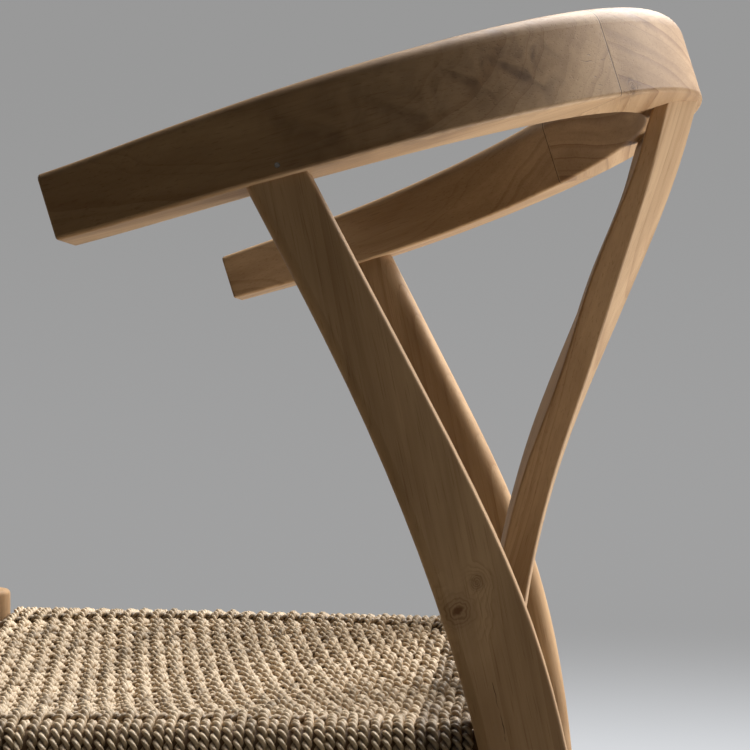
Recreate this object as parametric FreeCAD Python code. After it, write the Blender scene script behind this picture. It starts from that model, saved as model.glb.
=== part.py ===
import FreeCAD, Part
import math
import os

from FreeCAD import Placement, Rotation, Vector

# Y-back armchair of solid wood with a woven cord seat, in millimetres.
# X runs across the chair, -Y is the front, +Z is up, and the floor is Z = 0.
# The origin lies on the floor, midway between the front legs' front and the top rail's back.

# Overall
overall_depth = 510.0
arm_span = 528.0

# Bow: the bent top rail and its two arms, a half ring with straight tips, lying in a sloping plane
bow_slope = 17.3
bow_straight = 64.0
bow_width = 34.0
bow_tip_underside = 655.0
bow_sag = 4.0
bow_height_tip = 31.5
bow_height_arm = 45.5
bow_height_back = 50.5
bow_low_round = 2.0
bow_top_round_tip = 3.5
bow_top_round_back = 13.0
bow_tip_round = 1.5
bow_stations_per_side = 9
seam_angle = 38.0

# Dowels across the two seams of the bow
dowel_diameter = 8.0
dowel_length = 40.0
dowel_low = 13.0
dowel_spacing = 17.0

# Rear legs, sawn from a plank that leans outward and is turned out from the chair's middle plane
leg_turn = 15.0
leg_splay = 2.7
leg_thickness = 28.0
leg_front_round = 4.5
leg_back_round = 1.5
leg_back_inner_round = 8.0
leg_on_arm = 103.3
leg_reach = 115.0
leg_foot_setback = 31.0
leg_lean_top = 28.3
leg_lean_seat = 14.5
leg_lean_foot = 3.0
leg_width_top = 29.0
leg_width_seat = 41.5
leg_width_foot = 28.0
leg_waist_height = 640.0
leg_stations = 12

# Front legs, turned
front_leg_diameter = 31.0
front_leg_foot_diameter = 24.0
front_leg_half_spacing = 230.0
front_leg_above_seat = 12.5
front_leg_top_round = 4.0

# Seat frame and the cord that covers it
seat_height = 430.0
cord_wrap = 5.5
seat_rail_width = 24.0
seat_rail_depth = 30.0
cross_rail_drop = 14.0
back_rail_forward = 13.0
side_rail_inset = 5.0
seat_dip = 13.0
seat_web_thickness = 22.0

# Stretchers, oval in the middle and round at the ends
side_stretcher_height = 215.0
cross_stretcher_height = 165.0
stretcher_width = 15.0
stretcher_depth = 27.0
stretcher_end_diameter = 15.0

# Forked back splat, a carved board: crowned on the stem's front, with the prongs' backs sloping to their outer edges
splat_thickness_foot = 21.0
splat_thickness_top = 25.0
splat_stem_width = 48.0
splat_spread = 140.0
splat_prong_width = 32.0
splat_flare_height = 483.0
splat_fork_height = 565.0
splat_crotch_power = 0.7
splat_mid_height = 590.0
splat_mid_setback = 39.5
splat_foot_forward = 4.0
splat_top_setback = 3.0
splat_lean_foot = 0.5
splat_lean_top = 16.0
splat_front_radius_foot = 115.0
splat_front_radius_top = -600.0
splat_back_radius_foot = 200.0
splat_back_radius_top = 104.0
splat_carve_low = 565.0
splat_carve_high = 660.0
splat_spare_width = 6.0
splat_round = 1.2
splat_stations = 12

# Joints
leg_tenon_diameter = 16.0
leg_tenon_length = 20.0
rail_tenon_diameter = 13.0
rail_tenon_length = 12.0
stretcher_tenon_diameter = 12.0
stretcher_tenon_length = 12.0
splat_tenon_diameter = 8.0
splat_tenon_length = 14.0
splat_tenon_root = 3.0
splat_foot_tenon_width = 30.0
splat_foot_tenon_thickness = 9.0
splat_foot_tenon_length = 13.0
pin_diameter = 2.5
pin_length = 22.0
pin_below_face = 0.4
pin_above_underside = 5.5
tenon_clearance = 0.1
tenon_end_room = 1.0
wrap_clearance = 0.3

# Glides under the feet
glide_diameter = 18.0
glide_thickness = 2.5
glide_shank_diameter = 4.0
glide_shank_length = 10.0

UP = Vector(0, 0, 1)
ACROSS = Vector(1, 0, 0)
bow_radius = arm_span / 2
slope = math.radians(bow_slope)


def ease(start, end, share):
    """Blend smoothly from start to end as share goes from 0 to 1."""
    share = min(1.0, max(0.0, share))
    return start + (end - start) * share * share * (3 - 2 * share)


def curve_between(at, at0, value0, slope0, at1, value1, slope1):
    """Cubic with the given values and slopes at both ends."""
    length = at1 - at0
    share = (at - at0) / length
    return (
        value0 * (1 + 2 * share) * (1 - share) ** 2
        + value1 * share * share * (3 - 2 * share)
        + length * slope0 * share * (1 - share) ** 2
        - length * slope1 * share * share * (1 - share)
    )


def smooth_edge(points):
    """Spline edge through the points."""
    curve = Part.BSplineCurve()
    curve.interpolate(points)
    return curve.toShape()


def corner_arc(centre, start_direction, end_direction, radius):
    """Quarter arc about a centre, between two square directions."""
    middle = (start_direction + end_direction).normalize()
    return Part.Arc(
        centre + start_direction * radius,
        centre + middle * radius,
        centre + end_direction * radius,
    ).toShape()


def cylinder_between(start, end, radius):
    """Cylinder from one point to another."""
    axis = end - start
    return Part.makeCylinder(radius, axis.Length, start, axis)


def mirrored(shape):
    """The same piece on the other side of the chair."""
    return shape.mirror(Vector(0, 0, 0), ACROSS)


def cut_all(shape, tools):
    """Shape with every tool removed."""
    for tool in tools:
        shape = shape.cut(tool)
    return shape


def only_solid(shape):
    """The largest solid of a result."""
    return max(shape.Solids, key=lambda solid: solid.Volume)


# The bow is drawn flat, with its tips at Y = 0 and its underside near Z = 0, then sloped into place

bow_depth = bow_straight + bow_radius
bow_back_reach = (bow_depth - bow_low_round) * math.cos(slope) - bow_low_round * math.sin(slope) + bow_low_round
bow_placement = Placement(
    Vector(0, overall_depth / 2 - bow_back_reach, bow_tip_underside),
    Rotation(ACROSS, bow_slope),
)
bow_normal = bow_placement.Rotation.multVec(UP)


def bow_station(share):
    """Outer point and inward direction of the right half, from its tip (0) to the back (1)."""
    run = share * (bow_straight + bow_radius * math.pi / 2)
    if run <= bow_straight:
        return Vector(bow_radius, run, 0), Vector(-1, 0, 0)
    turn = (run - bow_straight) / bow_radius
    outward = Vector(math.cos(turn), math.sin(turn), 0)
    return Vector(0, bow_straight, 0) + outward * bow_radius, outward * -1


def bow_underside(along):
    """Height of the underside over the flat plane, at a distance behind the tips."""
    share = along / bow_depth
    return -bow_sag * 4 * share * (1 - share)


def bow_height(share):
    """Height of the bow, from its tip (0) to the back (1)."""
    return (
        bow_height_tip * (1 - share) * (1 - 2 * share)
        + bow_height_arm * 4 * share * (1 - share)
        + bow_height_back * share * (2 * share - 1)
    )


def bow_section(share, side, spare):
    """Closed outline of the bow at one station; spare widens it and lifts its top."""
    outer, inward = bow_station(share)
    outer.x *= side
    inward = Vector(inward.x * side, inward.y, 0)
    low = bow_underside(outer.y)
    top = low + bow_height(share) + spare
    width = bow_width + 2 * spare
    base = Vector(outer.x, outer.y, 0) - inward * spare
    low_round = bow_low_round
    top_round = ease(bow_top_round_tip, bow_top_round_back, share)

    def at(across, height):
        return base + inward * across + UP * height

    outward = inward * -1
    down = UP * -1
    corners = [
        corner_arc(at(low_round, low + low_round), outward, down, low_round),
        corner_arc(at(width - low_round, low + low_round), down, inward, low_round),
        corner_arc(at(width - top_round, top - top_round), inward, UP, top_round),
        corner_arc(at(top_round, top - top_round), UP, outward, top_round),
    ]
    edges = []
    for index, corner in enumerate(corners):
        following = corners[(index + 1) % len(corners)]
        edges.append(corner)
        edges.append(Part.makeLine(corner.Vertexes[-1].Point, following.Vertexes[0].Point))
    return Part.Wire(edges)


def bow_solid(spare):
    """The whole bow, from tip to tip, drawn flat."""
    shares = [index / bow_stations_per_side for index in range(bow_stations_per_side + 1)]
    sections = [bow_section(share, 1, spare) for share in shares]
    sections += [bow_section(share, -1, spare) for share in reversed(shares[:-1])]
    bow = Part.makeLoft(sections, True, False)
    tip_edges = [edge for edge in bow.Edges if edge.BoundBox.YMax < bow_tip_round]
    return bow.makeFillet(bow_tip_round, tip_edges)


def seam_wedge():
    """Wedge that holds the bow's middle piece, between its two seams."""
    centre = Vector(0, bow_straight, -2 * bow_height_back)
    half = math.radians(seam_angle)
    reach = 2 * bow_radius
    right = centre + Vector(math.sin(half), math.cos(half), 0) * reach
    left = centre + Vector(-math.sin(half), math.cos(half), 0) * reach
    outline = Part.makePolygon([centre, right, left, centre])
    return Part.Face(outline).extrude(UP * (5 * bow_height_back))


def seam_dowels(radius, length):
    """Both dowels of the right seam, drawn flat."""
    half = math.radians(seam_angle)
    outward = Vector(math.sin(half), math.cos(half), 0)
    along = Vector(math.cos(half), -math.sin(half), 0)
    middle = Vector(0, bow_straight, 0) + outward * (bow_radius - bow_width / 2)
    pieces = []
    for height in (dowel_low, dowel_low + dowel_spacing):
        start = middle + UP * height - along * (length / 2)
        pieces.append(cylinder_between(start, start + along * length, radius))
    return pieces


def placed_bow(shape):
    """A piece of the flat bow, sloped into place."""
    result = shape.copy()
    result.Placement = bow_placement.multiply(result.Placement)
    return result


def bow_point(across, along, above):
    """World point of a place on the flat bow, at a height above its underside."""
    return bow_placement.multVec(Vector(across, along, bow_underside(along) + above))


# Rear leg stations. The leg lies in a leaning plane through the point where it meets the arm

turn = math.radians(leg_turn)
leg_back = Vector(-math.sin(turn), math.cos(turn), 0)
leg_outward = Vector(math.cos(turn), math.sin(turn), 0)
arm_middle_radius = bow_radius - bow_width / 2
leg_top_across = math.sqrt(arm_middle_radius ** 2 - max(0.0, leg_on_arm - bow_straight) ** 2)
leg_top = bow_point(leg_top_across, leg_on_arm, 0)
leg_at_seat = Vector(leg_top.x, leg_top.y, 0) + leg_back * leg_reach
leg_lean_out = math.tan(math.radians(leg_splay))


def leg_centre(height):
    """How far behind its seat station the leg's centre line is, and its slope, at a height."""

    def setback(at):
        lean_seat = -math.tan(math.radians(leg_lean_seat))
        lean_top = -math.tan(math.radians(leg_lean_top))
        lean_foot = -math.tan(math.radians(leg_lean_foot))
        if at > leg_top.z:
            return -leg_reach + (at - leg_top.z) * lean_top
        if at > seat_height:
            return curve_between(at, seat_height, 0, lean_seat, leg_top.z, -leg_reach, lean_top)
        return curve_between(at, 0, leg_foot_setback, lean_foot, seat_height, 0, lean_seat)

    step = 0.5
    return setback(height), (setback(height + step) - setback(height - step)) / (2 * step)


def leg_width(height):
    """Width of the rear leg in its own plane, at a height."""
    if height < seat_height:
        return ease(leg_width_foot, leg_width_seat, height / seat_height)
    share = (height - seat_height) / (leg_waist_height - seat_height)
    return ease(leg_width_seat, leg_width_top, share)


def leg_place(setback, height):
    """Point in the leg's middle plane, at a distance behind its seat station and at a height."""
    outward = (height - leg_top.z) * leg_lean_out
    return leg_at_seat + leg_back * setback + leg_outward * outward + UP * height


def leg_point(height, side_share):
    """Point in the leg's middle plane; side_share -1 is the front edge and 1 the back edge."""
    setback, lean = leg_centre(height)
    half = leg_width(height) / 2 * side_share
    length = math.hypot(1, lean)
    return leg_place(setback + half / length, height - half * lean / length)


def rear_leg_blank(spare):
    """Right rear leg before its joints; spare makes it larger all round."""
    top = leg_top.z + bow_height_arm / 2
    heights = [glide_thickness + (top - glide_thickness) * index / leg_stations for index in range(leg_stations + 1)]

    def edge_points(side):
        foot_half = leg_width(glide_thickness) / 2 + spare
        points = [leg_place(leg_centre(glide_thickness)[0] + side * foot_half, glide_thickness)]
        for height in heights[1:]:
            share = side * (1 + 2 * spare / leg_width(height))
            points.append(leg_point(height, share))
        return points

    front = edge_points(-1)
    back = edge_points(1)
    outline = Part.Wire([
        smooth_edge(front),
        Part.makeLine(front[-1], back[-1]),
        smooth_edge(list(reversed(back))),
        Part.makeLine(back[0], front[0]),
    ])
    thickness = (leg_thickness + 2 * spare) / math.cos(turn)
    face = Part.Face(outline)
    face.translate(ACROSS * (-thickness / 2))
    blank = face.extrude(ACROSS * thickness)

    def long_edges(shape, side):
        middle = shape.CenterOfMass.y
        return [
            edge for edge in shape.Edges
            if edge.Length > 0.8 * top and side * (edge.CenterOfMass.y - middle) > 0
        ]

    def across(edge):
        return edge.CenterOfMass.x

    rounded = only_solid(blank.makeFillet(leg_front_round, long_edges(blank, -1)))
    inner = min(long_edges(rounded, 1), key=across)
    rounded = only_solid(rounded.makeFillet(leg_back_inner_round, [inner]))
    outer = max(long_edges(rounded, 1), key=across)
    return rounded.makeFillet(leg_back_round, [outer])


def front_leg_blank(spare):
    """Right front leg before its joints, turned about its own axis."""
    radius = front_leg_diameter / 2 + spare
    foot_radius = front_leg_foot_diameter / 2 + spare
    top = seat_height + front_leg_above_seat
    shoulder = top - front_leg_top_round
    side = smooth_edge([
        Vector(foot_radius, 0, glide_thickness),
        Vector(foot_radius + 0.45 * (radius - foot_radius), 0, 0.4 * shoulder),
        Vector(foot_radius + 0.97 * (radius - foot_radius), 0, 0.85 * shoulder),
        Vector(radius, 0, shoulder),
    ])
    rounding = corner_arc(Vector(radius - front_leg_top_round, 0, shoulder), ACROSS, UP, front_leg_top_round)
    outline = Part.Wire([
        Part.makeLine(Vector(0, 0, glide_thickness), Vector(foot_radius, 0, glide_thickness)),
        side,
        rounding,
        Part.makeLine(Vector(radius - front_leg_top_round, 0, top), Vector(0, 0, top)),
        Part.makeLine(Vector(0, 0, top), Vector(0, 0, glide_thickness)),
    ])
    leg = Part.Face(outline).revolve(Vector(0, 0, 0), UP, 360)
    leg.translate(front_leg_axis)
    return leg


front_leg_axis = Vector(front_leg_half_spacing, -overall_depth / 2 + front_leg_diameter / 2, 0)


def oval_bar(start, end, width, depth):
    """Straight bar of oval section with its depth upright."""
    axis = end - start
    sideways = axis.cross(UP).normalize()
    oval = Part.Ellipse(start + UP * (depth / 2), start + sideways * (width / 2), start)
    return Part.Face(Part.Wire([oval.toShape()])).extrude(axis)


def spindle(start, end):
    """Stretcher body: round at both ends and oval in the middle."""
    axis = end - start
    sideways = axis.cross(UP).normalize()
    sections = []
    for share in (0.0, 0.12, 0.5, 0.88, 1.0):
        swell = math.sin(math.pi * share)
        half_width = (stretcher_end_diameter + (stretcher_width - stretcher_end_diameter) * swell) / 2
        half_depth = (stretcher_end_diameter + (stretcher_depth - stretcher_end_diameter) * swell) / 2
        centre = start + axis * share
        quarter = [UP * half_depth, sideways * half_width, UP * -half_depth, sideways * -half_width]
        curve = Part.BSplineCurve()
        ring = []
        for step in range(16):
            angle = math.pi * step / 8
            ring.append(centre + quarter[0] * math.cos(angle) + quarter[1] * math.sin(angle))
        curve.interpolate(ring, PeriodicFlag=True)
        sections.append(Part.Wire([curve.toShape()]))
    return Part.makeLoft(sections, True, False)


def with_tenons(body, start, end, radius, length, shoulder_start, shoulder_end):
    """Body with a round tenon at each end, measured from its shoulders."""
    axis = (end - start).normalize()
    root = 3 * length
    first = cylinder_between(shoulder_start + axis * root, shoulder_start - axis * length, radius)
    last = cylinder_between(shoulder_end - axis * root, shoulder_end + axis * length, radius)
    return only_solid(body.fuse([first, last]).removeSplitter())


def tenon_sockets(start, end, radius, length, shoulder_start, shoulder_end):
    """Holes that take the tenons of such a body."""
    axis = (end - start).normalize()
    deep = length + tenon_end_room
    first = cylinder_between(shoulder_start + axis * length, shoulder_start - axis * deep, radius + tenon_clearance)
    last = cylinder_between(shoulder_end - axis * length, shoulder_end + axis * deep, radius + tenon_clearance)
    return first, last


# Lines of the seat rails and stretchers, between the legs

side_rail_level = seat_height - cord_wrap - seat_rail_depth / 2
cross_rail_level = side_rail_level - cross_rail_drop
bite = leg_thickness / 4


def leg_front_face(height, inset):
    """Place a little inside the rear leg's front edge, off its middle plane by inset."""
    edge = leg_point(height, -1)
    return Vector(edge.x, edge.y, height) + leg_back * bite - leg_outward * inset


def leg_inner_face(height, setback):
    """Place a little inside the rear leg's inner face, at a distance behind its centre line."""
    centre = leg_point(height, 0) + leg_back * setback
    return centre - leg_outward * (leg_thickness / 2 - bite)


def front_leg_point(height):
    """Point on the right front leg's axis."""
    return front_leg_axis + UP * height


def flipped(point):
    """The same point on the left side."""
    return Vector(-point.x, point.y, point.z)


side_rail_front = front_leg_point(side_rail_level)
side_rail_rear = leg_front_face(side_rail_level, side_rail_inset)
front_rail_right = front_leg_point(cross_rail_level)
back_rail_right = leg_inner_face(cross_rail_level, -back_rail_forward)
side_stretcher_front = front_leg_point(side_stretcher_height)
side_stretcher_rear = leg_front_face(side_stretcher_height, 0.0)
front_stretcher_right = front_leg_point(cross_stretcher_height)
back_stretcher_right = leg_inner_face(cross_stretcher_height, 0.0)


def shoulders(start, end, start_depth, end_depth):
    """Shoulder points of a bar, at given depths inside its end points."""
    axis = (end - start).normalize()
    return start + axis * start_depth, end - axis * end_depth


front_leg_half = front_leg_diameter / 2
side_rail_shoulders = shoulders(side_rail_front, side_rail_rear, front_leg_half, bite)
front_rail_shoulders = shoulders(flipped(front_rail_right), front_rail_right, front_leg_half, front_leg_half)
back_rail_shoulders = shoulders(flipped(back_rail_right), back_rail_right, bite, bite)
front_leg_half_low = front_leg_foot_diameter / 2
side_stretcher_shoulders = shoulders(side_stretcher_front, side_stretcher_rear, front_leg_half_low, bite)
front_stretcher_shoulders = shoulders(
    flipped(front_stretcher_right), front_stretcher_right, front_leg_half_low, front_leg_half_low
)
back_stretcher_shoulders = shoulders(flipped(back_stretcher_right), back_stretcher_right, bite, bite)


def seat_rail(start, end, ends):
    """Oval seat rail with its tenons."""
    body = oval_bar(start, end, seat_rail_width, seat_rail_depth)
    return body, (start, end, rail_tenon_diameter / 2, rail_tenon_length, ends[0], ends[1])


def stretcher(start, end, ends):
    """Stretcher with its tenons."""
    body = spindle(start, end)
    return body, (start, end, stretcher_tenon_diameter / 2, stretcher_tenon_length, ends[0], ends[1])


# Splat: a board bent along a curve, cut to a fork. Its foot stands in the back rail

splat_foot = Vector(0, back_rail_right.y - splat_foot_forward, cross_rail_level)
splat_top_radius = arm_middle_radius + splat_top_setback
splat_top = bow_point(0, bow_straight + splat_top_radius, 0)


def splat_line():
    """Curve of the board's middle, seen from the side."""
    middle = Vector(0, splat_foot.y + splat_mid_setback, splat_mid_height)
    foot_lean = math.radians(splat_lean_foot)
    top_lean = math.radians(splat_lean_top)
    curve = Part.BSplineCurve()
    curve.interpolate(
        Points=[splat_foot, middle, splat_top],
        InitialTangent=Vector(0, math.sin(foot_lean), math.cos(foot_lean)),
        FinalTangent=Vector(0, math.sin(top_lean), math.cos(top_lean)),
    )
    return curve


fork_top = splat_top.z + bow_height_back / 2


def fork_half_width(height):
    """Half of the fork's width at a height: the stem's below, spreading to the prongs' tips."""
    share = (height - splat_flare_height) / (fork_top - splat_flare_height)
    return ease(splat_stem_width / 2, splat_spread / 2, share)


def fork_half_gap(height):
    """Half of the gap between the prongs at a height."""
    share = (height - splat_fork_height) / (fork_top - splat_fork_height)
    return (splat_spread / 2 - splat_prong_width) * share ** splat_crotch_power


def splat_faces(height, half_thickness, across):
    """How far behind the board's middle line its front and back face lie, at a place across it."""
    share = (height - splat_carve_low) / (splat_carve_high - splat_carve_low)
    front_bend = ease(1 / splat_front_radius_foot, 1 / splat_front_radius_top, share)
    back_bend = ease(1 / splat_back_radius_foot, 1 / splat_back_radius_top, share)
    front = -half_thickness + front_bend * across ** 2 / 2
    back = half_thickness - back_bend * across ** 2 / 2
    return front, back


def splat_board():
    """Carved board, wide enough for the whole fork, before it is cut."""
    curve = splat_line()
    first, last = curve.FirstParameter, curve.LastParameter
    sections = []
    for index in range(splat_stations + 1):
        share = index / splat_stations
        parameter = first + (last - first) * share
        tangent = curve.tangent(parameter)[0]
        half = ease(splat_thickness_foot, splat_thickness_top, share) / 2 / abs(tangent.z)
        sections.append(board_section(curve.value(parameter), half))
    sections.append(board_section(splat_top + tangent * bow_height_back, half))
    return Part.makeLoft(sections, True, False)


def board_section(middle, half_thickness):
    """Level outline of the board: a bent front and back, joined by straight ends."""
    side = fork_half_width(middle.z) + splat_spare_width

    def at(across, face):
        return middle + Vector(across, splat_faces(middle.z, half_thickness, across)[face], 0)

    def bent_edge(places, face):
        return smooth_edge([at(across, face) for across in places])

    places = [-side, -side / 2, 0.0, side / 2, side]
    return Part.Wire([
        bent_edge(places, 0),
        Part.makeLine(at(side, 0), at(side, 1)),
        bent_edge(list(reversed(places)), 1),
        Part.makeLine(at(-side, 1), at(-side, 0)),
    ])


def fork_outline():
    """Face of the fork seen from the front, in the plane Y = 0."""
    foot = splat_foot.z + seat_rail_depth / 2
    steps = 8
    heights = [foot + (fork_top - foot) * index / steps for index in range(steps + 1)]
    right = [Vector(fork_half_width(height), 0, height) for height in heights]
    rise = fork_top - splat_fork_height
    shares = (0.0, 0.13, 0.5, 1.0)
    inner = [Vector(fork_half_gap(height), 0, height) for height in [splat_fork_height + rise * at for at in shares]]
    crotch = [flipped(point) for point in reversed(inner[1:])] + inner
    outline = Part.Wire([
        Part.makeLine(flipped(right[0]), right[0]),
        smooth_edge(right),
        Part.makeLine(right[-1], crotch[-1]),
        smooth_edge(crotch),
        Part.makeLine(crotch[0], flipped(right[-1])),
        smooth_edge([flipped(point) for point in right]),
    ])
    return Part.Face(outline)


def prong_tenon(side, radius, length):
    """Round tenon on top of a prong, along the bow's normal."""
    across = side * (splat_spread - splat_prong_width) / 2
    setback = sum(splat_faces(splat_top.z, splat_thickness_top / 2, across)) / 2
    along = bow_placement.inverse().multVec(splat_top + Vector(across, setback, 0)).y
    root = bow_point(across, along, -splat_tenon_root)
    return cylinder_between(root, bow_point(across, along, length), radius)


def foot_tenon(spare):
    """Flat tenon under the splat's stem, going down into the back rail."""
    width = splat_foot_tenon_width + 2 * spare
    thickness = splat_foot_tenon_thickness + 2 * spare
    top = splat_foot.z + seat_rail_depth / 2
    low = top - splat_foot_tenon_length - (tenon_end_room if spare else 0)
    corner = Vector(-width / 2, splat_foot.y - thickness / 2, low)
    return Part.makeBox(width, thickness, top + tenon_end_room - low, corner)


def splat_blank(block):
    """Forked board between the back rail and the bow's underside."""
    fork = fork_outline()
    fork.translate(Vector(0, -overall_depth, 0))
    blank = only_solid(splat_board().common(fork.extrude(Vector(0, 2 * overall_depth, 0))))
    long_edges = [edge for edge in blank.Edges if edge.Length > splat_spread]
    rounded = blank.makeFillet(splat_round, long_edges)
    return only_solid(rounded.cut(block))


# Woven seat: the web between the rails and the cord wrapped round them, as one closed form

seat_half_wrap = seat_rail_width / 2 + cord_wrap
seat_wrap_depth = seat_rail_depth + 2 * cord_wrap


def seat_half_width(along):
    """Distance of the side rail's axis from the middle plane, at a place along Y."""
    share = (along - side_rail_front.y) / (side_rail_rear.y - side_rail_front.y)
    return side_rail_front.x + (side_rail_rear.x - side_rail_front.x) * share


def web_section(along):
    """Outline of the web and the side wraps at a place along Y."""
    half = seat_half_width(along)
    top = side_rail_level + seat_wrap_depth / 2
    low = top - seat_wrap_depth
    middle_top = top - seat_dip
    web_low = middle_top - seat_web_thickness

    def at(across, height):
        return Vector(across, along, height)

    outside = half + seat_half_wrap
    inside = half - 2 * seat_half_wrap
    return Part.Wire([
        Part.Arc(at(-half, top), at(0, middle_top), at(half, top)).toShape(),
        Part.Arc(at(half, top), at(outside, side_rail_level), at(half, low)).toShape(),
        Part.makeLine(at(half, low), at(inside, web_low)),
        Part.makeLine(at(inside, web_low), at(-inside, web_low)),
        Part.makeLine(at(-inside, web_low), at(-half, low)),
        Part.Arc(at(-half, low), at(-outside, side_rail_level), at(-half, top)).toShape(),
    ])


def seat_blank():
    """Closed form of the woven seat before the frame is let into it."""
    front = front_rail_right.y
    back = back_rail_right.y
    web = Part.makeLoft([web_section(front), web_section(back)], True, True)
    wrap_width = seat_rail_width + 2 * cord_wrap
    front_wrap = oval_bar(flipped(front_rail_right), front_rail_right, wrap_width, seat_wrap_depth)
    back_wrap = oval_bar(flipped(back_rail_right), back_rail_right, wrap_width, seat_wrap_depth)
    return web.fuse([front_wrap, back_wrap]).removeSplitter()


def oval_room(start, end):
    """Room for a seat rail inside the wrap."""
    grow = 2 * wrap_clearance
    return oval_bar(start, end, seat_rail_width + grow, seat_rail_depth + grow)


# Small pieces

def glide(foot):
    """Glide with its shank, under a foot."""
    disc = Part.makeCylinder(glide_diameter / 2, glide_thickness, foot)
    shank = Part.makeCylinder(glide_shank_diameter / 2, glide_shank_length, foot + UP * glide_thickness)
    return disc.fuse(shank).removeSplitter()


def glide_socket(foot):
    """Hole for a glide's shank."""
    radius = glide_shank_diameter / 2 + tenon_clearance
    return Part.makeCylinder(radius, glide_thickness + glide_shank_length + tenon_end_room, foot)


def arm_pin(radius, spare):
    """Pin through the right arm into the leg's tenon."""
    middle = bow_point(leg_top_across, leg_on_arm, pin_above_underside)
    outward = bow_placement.Rotation.multVec(Vector(leg_top_across, max(0.0, leg_on_arm - bow_straight), 0))
    outward.normalize()
    head = middle + outward * (bow_width / 2 - pin_below_face + spare)
    return cylinder_between(middle + outward * (bow_width / 2 - pin_length - spare), head, radius)


def main():
    """Build every piece and write one file for each."""
    # Bow
    flat_bow = bow_solid(0.0)
    wedge = seam_wedge()
    sockets = seam_dowels(dowel_diameter / 2 + tenon_clearance, dowel_length + 2 * tenon_end_room)
    both_sockets = sockets + [mirrored(socket) for socket in sockets]
    back = placed_bow(cut_all(flat_bow.common(wedge), both_sockets))
    arms = cut_all(flat_bow.cut(wedge), both_sockets)
    right_arm = placed_bow(max(arms.Solids, key=lambda solid: solid.CenterOfMass.x))
    block = placed_bow(bow_solid(bow_width / 2))
    dowels = [placed_bow(dowel) for dowel in seam_dowels(dowel_diameter / 2, dowel_length)]

    # Leg tenon and pin
    leg_tenon = cylinder_between(
        leg_top - bow_normal * leg_tenon_length, leg_top + bow_normal * leg_tenon_length, leg_tenon_diameter / 2
    )
    leg_socket = cylinder_between(
        leg_top - bow_normal * leg_tenon_length,
        leg_top + bow_normal * (leg_tenon_length + tenon_end_room),
        leg_tenon_diameter / 2 + tenon_clearance,
    )
    pin = arm_pin(pin_diameter / 2, 0.0)
    pin_room = arm_pin(pin_diameter / 2 + tenon_clearance, tenon_end_room)
    right_arm = only_solid(cut_all(right_arm, [leg_socket, pin_room]))

    # Seat rails and stretchers
    side_rail, side_rail_tenons = seat_rail(side_rail_front, side_rail_rear, side_rail_shoulders)
    front_rail, front_rail_tenons = seat_rail(flipped(front_rail_right), front_rail_right, front_rail_shoulders)
    back_rail, back_rail_tenons = seat_rail(flipped(back_rail_right), back_rail_right, back_rail_shoulders)
    side_bar, side_bar_tenons = stretcher(side_stretcher_front, side_stretcher_rear, side_stretcher_shoulders)
    front_bar, front_bar_tenons = stretcher(
        flipped(front_stretcher_right), front_stretcher_right, front_stretcher_shoulders
    )
    back_bar, back_bar_tenons = stretcher(flipped(back_stretcher_right), back_stretcher_right, back_stretcher_shoulders)

    # Legs
    leg_blank = rear_leg_blank(0.0).cut(block)
    rear_foot = Vector(leg_point(glide_thickness, 0).x, leg_point(glide_thickness, 0).y, 0)
    rear_sockets = [
        tenon_sockets(*side_rail_tenons)[1],
        tenon_sockets(*back_rail_tenons)[1],
        tenon_sockets(*side_bar_tenons)[1],
        tenon_sockets(*back_bar_tenons)[1],
        glide_socket(rear_foot),
    ]
    rear_leg = only_solid(cut_all(leg_blank.fuse(leg_tenon).removeSplitter(), rear_sockets + [pin_room]))
    front_blank = front_leg_blank(0.0)
    front_sockets = [
        tenon_sockets(*side_rail_tenons)[0],
        tenon_sockets(*front_rail_tenons)[1],
        tenon_sockets(*side_bar_tenons)[0],
        tenon_sockets(*front_bar_tenons)[1],
        glide_socket(front_leg_axis),
    ]
    front_leg = only_solid(cut_all(front_blank, front_sockets))
    right_legs = [leg_blank, front_blank]
    all_legs = right_legs + [mirrored(leg) for leg in right_legs]

    # Splat
    splat = splat_blank(block)
    prong_tenons = [prong_tenon(side, splat_tenon_diameter / 2, splat_tenon_length) for side in (-1, 1)]
    prong_rooms = [
        prong_tenon(side, splat_tenon_diameter / 2 + tenon_clearance, splat_tenon_length + tenon_end_room)
        for side in (-1, 1)
    ]
    splat = only_solid(splat.fuse(prong_tenons + [foot_tenon(0.0)]).removeSplitter())
    back = only_solid(cut_all(back, prong_rooms))

    # Shaped ends of the bars
    side_rail = with_tenons(only_solid(cut_all(side_rail, right_legs)), *side_rail_tenons)
    front_rail = with_tenons(only_solid(cut_all(front_rail, all_legs)), *front_rail_tenons)
    back_rail = with_tenons(only_solid(cut_all(back_rail, all_legs)), *back_rail_tenons)
    back_rail = only_solid(back_rail.cut(foot_tenon(tenon_clearance)))
    side_bar = with_tenons(only_solid(cut_all(side_bar, right_legs)), *side_bar_tenons)
    front_bar = with_tenons(only_solid(cut_all(front_bar, all_legs)), *front_bar_tenons)
    back_bar = with_tenons(only_solid(cut_all(back_bar, all_legs)), *back_bar_tenons)

    # Seat, let over the rails and round the legs and the splat
    room = [rear_leg_blank(wrap_clearance), front_leg_blank(wrap_clearance)]
    room += [mirrored(leg) for leg in room]
    side_room = oval_room(side_rail_front, side_rail_rear)
    room += [side_room, mirrored(side_room)]
    room.append(oval_room(flipped(front_rail_right), front_rail_right))
    room.append(oval_room(flipped(back_rail_right), back_rail_right))
    stem_room = Part.makeBox(
        splat_stem_width + 2 * wrap_clearance,
        3 * splat_thickness_foot,
        seat_wrap_depth,
        Vector(
            -splat_stem_width / 2 - wrap_clearance,
            splat_foot.y - splat_thickness_foot / 2 - wrap_clearance,
            splat_foot.z,
        ),
    )
    seat = only_solid(cut_all(seat_blank(), room + [stem_room]))

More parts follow.
